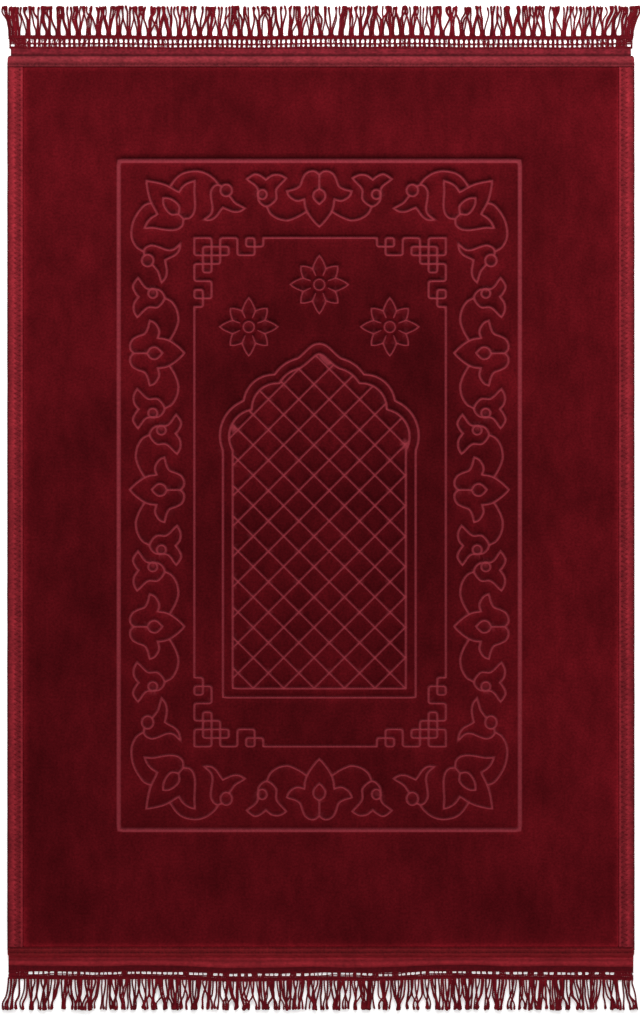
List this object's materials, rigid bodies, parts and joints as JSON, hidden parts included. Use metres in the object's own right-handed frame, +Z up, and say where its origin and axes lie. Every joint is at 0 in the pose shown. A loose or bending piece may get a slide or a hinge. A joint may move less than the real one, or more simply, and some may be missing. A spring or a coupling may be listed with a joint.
{
  "type": "prayer rug",
  "caption": "Padded velvet prayer rug with a pressed arch, lattice, flowers and scroll border, bound edges, and a fringe trim along each short end.",
  "frame": {"origin": "centre of the footprint, on the floor under the rug", "axes": "+Y along the rug towards the point of the arch, +X to the right seen from above with the point up, +Z up out of the pile"},
  "size_m": [0.8106, 1.283, 0.0066],
  "materials": {
    "velvet": "short maroon velvet pile with a soft sheen, rose where it is pressed",
    "side_tape": "brighter red woven tape with a zigzag stitch",
    "hem_tape": "rose red satin-like tape, rounded and slightly wrinkled",
    "yarn": "twisted dark red yarn"
  },
  "bodies": {
    "root": {"rug_panel": "velvet", "side_binding_left": "side_tape", "side_binding_right": "side_tape", "end_binding_top": "hem_tape", "end_binding_bottom": "hem_tape", "fringe_top": "yarn", "fringe_bottom": "yarn"}
  },
  "joints": []
}
